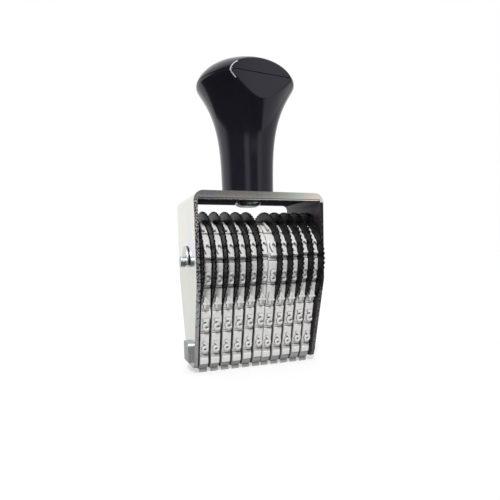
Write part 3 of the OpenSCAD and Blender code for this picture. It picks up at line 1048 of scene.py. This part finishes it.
# Painted highlight: a pale strip on the left of the flat's rounded edge.
painted_highlight = Finish("painted_highlight_edge_look", Metallic=0.0)
painted_highlight.on(painted_highlight.mix(painted_highlight.noise(2200, 3), (0.10, 0.10, 0.11), (0.75, 0.75, 0.80)), 0.5)
wear([handle_body, handle_cap], glossy, matt, painted_highlight)
HIGHLIGHT_X, HIGHLIGHT_UP, HIGHLIGHT_HALF, DUST_HALF = -5.6, 0.7, 2.9, 0.085


def is_painted_highlight(c, n):
    """The outer of the two rounding strips, on the left and near the seam, where a highlight is
    painted.
    """
    return c.x < HIGHLIGHT_X and abs(c.z - SEAM_Z - HIGHLIGHT_UP) < HIGHLIGHT_HALF \
        and cut_at + 0.01 < c @ FACING < cut_at + ROUNDING[0][1] - 0.003 and n @ FACING > 0.5


# The seam gets its matt finish, and the rounding strip gets the painted highlight.
for piece in (handle_body, handle_cap):
    print("seam:", paint_faces(piece, 1, lambda c, n: abs(c.z - SEAM_Z) < DUST_HALF),
          "rubbed:", paint_faces(piece, 2, is_painted_highlight))

# %% Wheel plastic
satin = Finish("wheel_plastic_look", Metallic=0.0, Specular_IOR_Level=0.08)
patch = satin.noise(300, 3)
satin.on(satin.mix(patch, (0.005, 0.0045, 0.006), (0.015, 0.012, 0.016)),
         0.36 + patch * 0.16 - satin.carried("polish") * 0.22,
         satin.bump(satin.noise(3500, 3), 0.25, 0.03))
wear(wheels, satin)
print("satin wheels:", len(wheels))

# %% [markdown]
# ## Rubber
# The bands are light rubber: warm grey, matt, with a faint mottle and a fine texture from the
# mould. Shade is painted at the foot of each digit, in the grooves' fine lines, on the sides next to
# the wheels and on the first block; the digit that prints has real ink. That could be a noise, but
# it has to follow the relief, so the mesh carries how much there is.

# %% Band rubber
rubber = Finish("band_rubber_look", Metallic=0.0)
mottle = rubber.noise(500, 4)
clean = rubber.mix(mottle, (0.68, 0.675, 0.665), (0.80, 0.795, 0.785))
# The carried value darkens the rubber: painted shade, and real ink on the printing digit.
rubber.on(rubber.mix(rubber.carried("soot") * 0.9, clean, (0.045, 0.043, 0.045)),
          0.55 + mottle * 0.2, rubber.bump(rubber.noise(5000, 3), 0.3, 0.03))
wear(bands, rubber)
print("rubber bands:", len(bands))

# %% [markdown]
# ## Small metal pieces
# The shaft is turned bright steel, with its streaks round it. The anvil is milled and rougher,
# with dark and bright grain. The clips are plated spring steel, and the inner half of their rim is
# painted dark as shade in the gap against the plate. The insert in the handle is brass. The insert
# and the lock washer can't be seen, so their solids stay and only get a finish. Each metal could be
# one flat grey, but a noise that changes its colour and its gloss together looks like a worked
# surface, and one function makes them all.

# %% Steel and brass
def metal(name, scale, dark, bright, gloss, spread, stretch=(1, 1, 1), relief=None):
    """A bare metal: one noise changes its colour, its gloss and, where given, its surface."""
    made = Finish(name, Metallic=1.0)
    marks = made.noise(scale, 3, stretch)
    return made.on(made.mix(marks, dark, bright), gloss + marks * spread,
                   made.bump(marks, *relief) if relief else None)


wear([shaft_look], metal("bright_steel_look", 1200, (0.58, 0.61, 0.62), (0.76, 0.80, 0.80),
                         0.24, 0.14, (3.0, 0.4, 0.4), (0.05, 0.005)))
wear([anvil_look], metal("anvil_steel_look", 2600, (0.28, 0.27, 0.25), (0.74, 0.80, 0.82),
                         0.40, 0.2, relief=(0.2, 0.01)))
sprung = metal("spring_steel_look", 700, (0.66, 0.67, 0.69), (0.80, 0.81, 0.82), 0.34, 0.14,
               relief=(0.1, 0.01))
# Painted shade: the inner half of each clip's rim is dark, for the gap against the plate.
painted_gap_shade = Finish("clip_edge_shade_look", Metallic=0.6)
painted_gap_shade.on(painted_gap_shade.mix(painted_gap_shade.noise(900), (0.010, 0.010, 0.014), (0.040, 0.036, 0.045)), 0.4)
wear([clips_look], sprung, painted_gap_shade)
# The inner half of the rim gets the painted shade.
paint_faces(clips_look, 1, lambda c, n: abs(n.x) < 0.5 and abs(c.x) < CLIP_X - HALF_WAY)
wear([screw_look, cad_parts["lock_washer"]],
     metal("screw_steel_look", 1500, (0.50, 0.51, 0.53), (0.66, 0.67, 0.69), 0.26, 0.18))
wear([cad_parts["handle_insert"]],
     metal("brass_look", 900, (0.66, 0.47, 0.18), (0.80, 0.61, 0.28), 0.25, 0.15,
           (0.5, 0.5, 4.0)))
print("materials:", sorted(m.name for m in bpy.data.materials if m.name.endswith("_look")))

# %% [markdown]
# ## Floor, light and camera
# The stamp stands on its raised digits on a pale floor. What the camera sees round it is white
# from every side, and metal and glossy plastic mirror that white too. It could be white all round,
# but a mirror or a black gloss has no shape without something dark in it. So for them the studio
# stays dark to the left of the front, where a maker stands, and is dimmer on the right. In the
# dark stands a narrow white panel, which puts the streak on the handle, and a low strip over the
# horizon lightens the lip a little. The key lamp is above the front.

# %% Floor
AHEAD_LEFT = (-0.743, -0.669, 0)


def mirror_rays(graph):
    """1 for rays that left a mirror or a clear surface, 0 for the others."""
    path = graph.node("ShaderNodeLightPath", {}, {}, "Is Glossy Ray")
    clear = graph.node("ShaderNodeLightPath", {}, {}, "Is Transmission Ray")
    return path.math("MAXIMUM", path, clear)


bpy.ops.mesh.primitive_plane_add(size=6, location=(0, 0, -PRINT_H * MM))
floor = settle("floor")
paper = Finish("floor_look", Roughness=0.9, Specular_IOR_Level=0.0, Emission_Strength=1.0)
mirrored = mirror_rays(paper)
shade = mirrored * paper.fade(paper.along(paper.place(), AHEAD_LEFT), -0.006, 0.030, soft=True)
seen = paper.node("ShaderNodeLightPath", {}, {}, "Is Camera Ray") + (mirrored - shade) * 0.65
paper.on(paper.mix(shade, (0.5, 0.5, 0.5), (0.10, 0.10, 0.10)))
paper.feed(paper.shader.inputs["Emission Color"], paper.mix(seen, (0, 0, 0), (0.5, 0.5, 0.5)))
wear([floor], paper)
print("floor at", -PRINT_H, "mm")

# %% Surroundings
world = bpy.data.worlds.new("studio")
bpy.context.scene.world = world
world.use_nodes = True
studio = Graph(world.node_tree)
DAYLIGHT = 0.55
MAKER, MAKER_LEFT, RIGHT = (-0.262, -0.965, 0), (-0.893, -0.451, 0), (1, 0, 0)
PANEL, STRIP, STRIP_Z = (0.951, -0.309, 0), (0.339, -0.941, 0), 0.06
by_camera = studio.node("ShaderNodeLightPath", {}, {}, "Is Camera Ray")
mirrored = mirror_rays(studio)
aim = studio.node("ShaderNodeTexCoord", {}, {}, "Generated")


def towards(side, near, far):
    """How far a direction lies to one side: 0 up to near, 1 from far."""
    return studio.fade(studio.along(aim, side), near, far, soft=True)


panel = studio.fade(abs(studio.along(aim, PANEL)), 0.04, 0.30, 0.8, 0.0, soft=True)
dark = towards(MAKER, -0.20, 0.33) * towards(MAKER_LEFT, -0.10, 0.10)
level = studio.fade(abs(studio.part(aim, 2) - STRIP_Z), 0.02, 0.05, 1.0, 0.0, soft=True)
strip = level * towards(STRIP, 0.90, 0.96) * dark
room_light = 1 - dark * (0.82 - panel) + strip * 0.4 - towards(RIGHT, 0.55, 0.85) * 0.45
strength = by_camera + (1 - by_camera) * (mirrored * room_light + (1 - mirrored) * DAYLIGHT)
backdrop = world.node_tree.nodes["Background"]
studio.feed(backdrop.inputs["Color"], (1, 1, 1, 1))
studio.feed(backdrop.inputs["Strength"], strength)
print("nodes in the studio:", len(studio.nodes))

# %% Key lamp
KEY_AT, LOOKS_AT = Vector((-0.175, -0.43, 0.475)), Vector((0, 0, 0.035))
key = bpy.data.lights.new("key", "SUN")
key.energy = 2.4
key.angle = math.radians(9)
lit = bpy.data.objects.new("key", key)
lit.location = KEY_AT
lit.rotation_euler = (LOOKS_AT - KEY_AT).to_track_quat("-Z", "Y").to_euler()
lit.visible_camera = False
bpy.context.scene.collection.objects.link(lit)
print("key lamp:", key.energy)

# %% Camera
bpy.context.scene.view_settings.view_transform = "Standard"
CAMERA_AT = (-0.04139, -0.11371, 0.02966)
FRAME_PIXELS, FOCAL_PIXELS, SENSOR = 500, 433.77, 36
yaw, pitch, roll = 0.3519, -0.0815, -0.0256
ahead = Vector((math.sin(yaw) * math.cos(pitch), math.cos(yaw) * math.cos(pitch),
                math.sin(pitch)))
right = Vector((math.cos(yaw), -math.sin(yaw), 0))
up = right.cross(ahead)
across = math.cos(roll) * right + math.sin(roll) * up
top = -math.sin(roll) * right + math.cos(roll) * up
lens = bpy.data.cameras.new("camera")
lens.lens, lens.sensor_width = FOCAL_PIXELS / FRAME_PIXELS * SENSOR, SENSOR
lens.shift_x, lens.shift_y = -0.00296, 0.08418
lens.clip_start, lens.clip_end = 0.005, 20
camera = bpy.data.objects.new("camera", lens)
bpy.context.scene.collection.objects.link(camera)
camera.matrix_world = Matrix([(*row, at) for *row, at in zip(across, top, -ahead, CAMERA_AT)]
                             + [(0, 0, 0, 1)])
bpy.context.scene.camera = camera
bpy.context.view_layer.update()
print("focal length:", round(lens.lens, 2), "mm")
